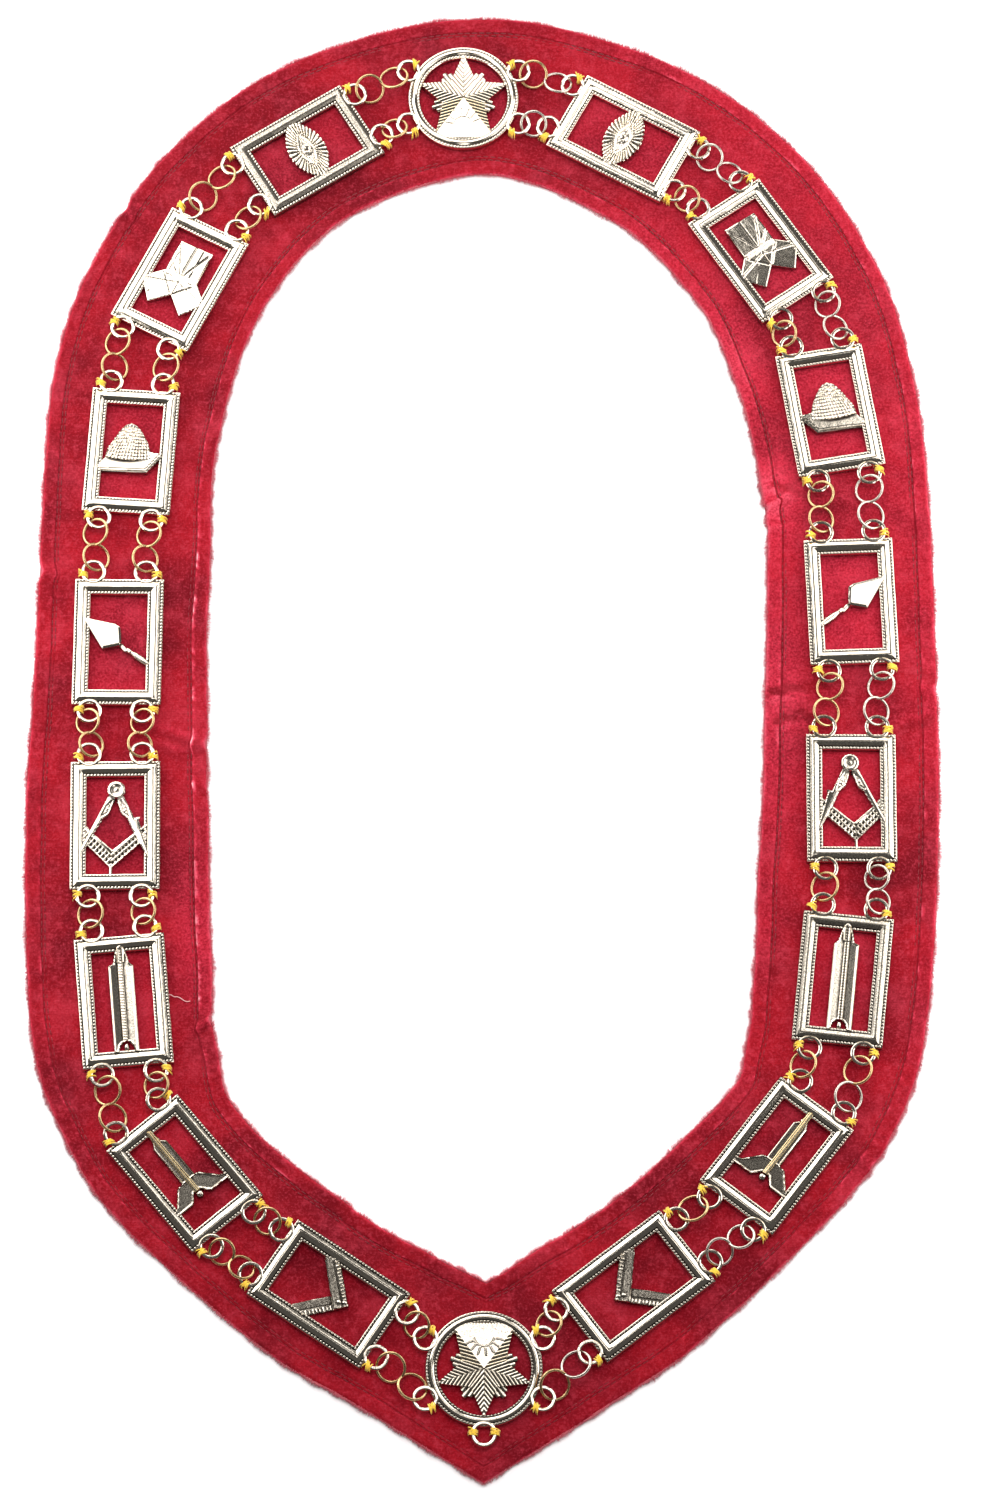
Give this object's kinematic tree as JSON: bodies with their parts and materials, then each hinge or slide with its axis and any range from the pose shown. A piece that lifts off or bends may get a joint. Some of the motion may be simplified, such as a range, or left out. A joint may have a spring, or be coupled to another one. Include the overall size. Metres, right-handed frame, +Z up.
{
  "type": "chain collar of office",
  "caption": "Regalia collar: linked openwork cast plates and star medallions on a pointed red velvet band, with a loop for a jewel.",
  "frame": {"origin": "middle of the collar's outline, on the surface that it lies on", "axes": "+Y from the point to the nape, +X to the right seen from the front, +Z up out of the cloth's face"},
  "size_m": [0.3771, 0.637, 0.0091],
  "materials": {
    "red_velvet": "cotton velvet with a turned and stitched hem",
    "pale_nickel": "cast white metal, plated pale nickel and aged in its recesses",
    "gilt_wire": "bright gilt jump rings",
    "silver_wire": "bright silver-coloured jump rings"
  },
  "bodies": {
    "root": {"velvet_band": "red_velvet", "medallion_top": "pale_nickel", "medallion_bottom": "pale_nickel", "plate_eye_left": "pale_nickel", "plate_eye_right": "pale_nickel", "plate_leaves_left": "pale_nickel", "plate_leaves_right": "pale_nickel", "plate_hive_left": "pale_nickel", "plate_hive_right": "pale_nickel", "plate_trowel_left": "pale_nickel", "plate_trowel_right": "pale_nickel", "plate_compasses_left": "pale_nickel", "plate_compasses_right": "pale_nickel", "plate_plumb_left": "pale_nickel", "plate_plumb_right": "pale_nickel", "plate_level_left": "pale_nickel", "plate_level_right": "pale_nickel", "plate_square_left": "pale_nickel", "plate_square_right": "pale_nickel", "links_left_outer_1": "gilt_wire", "links_left_outer_2": "gilt_wire", "links_left_outer_3": "gilt_wire", "links_left_outer_4": "gilt_wire", "links_left_outer_5": "gilt_wire", "links_left_outer_6": "gilt_wire", "links_left_outer_7": "gilt_wire", "links_left_outer_8": "gilt_wire", "links_left_outer_9": "gilt_wire", "links_left_inner_1": "gilt_wire", "links_left_inner_2": "gilt_wire", "links_left_inner_3": "gilt_wire", "links_left_inner_4": "gilt_wire", "links_left_inner_5": "gilt_wire", "links_left_inner_6": "gilt_wire", "links_left_inner_7": "gilt_wire", "links_left_inner_8": "gilt_wire", "links_left_inner_9": "gilt_wire", "links_right_outer_1": "silver_wire", "links_right_outer_2": "silver_wire", "links_right_outer_3": "silver_wire", "links_right_outer_4": "silver_wire", "links_right_outer_5": "silver_wire", "links_right_outer_6": "silver_wire", "links_right_outer_7": "silver_wire", "links_right_outer_8": "silver_wire", "links_right_outer_9": "silver_wire", "links_right_inner_1": "gilt_wire", "links_right_inner_2": "gilt_wire", "links_right_inner_3": "gilt_wire", "links_right_inner_4": "gilt_wire", "links_right_inner_5": "gilt_wire", "links_right_inner_6": "gilt_wire", "links_right_inner_7": "gilt_wire", "links_right_inner_8": "gilt_wire", "links_right_inner_9": "gilt_wire"}
  },
  "joints": []
}
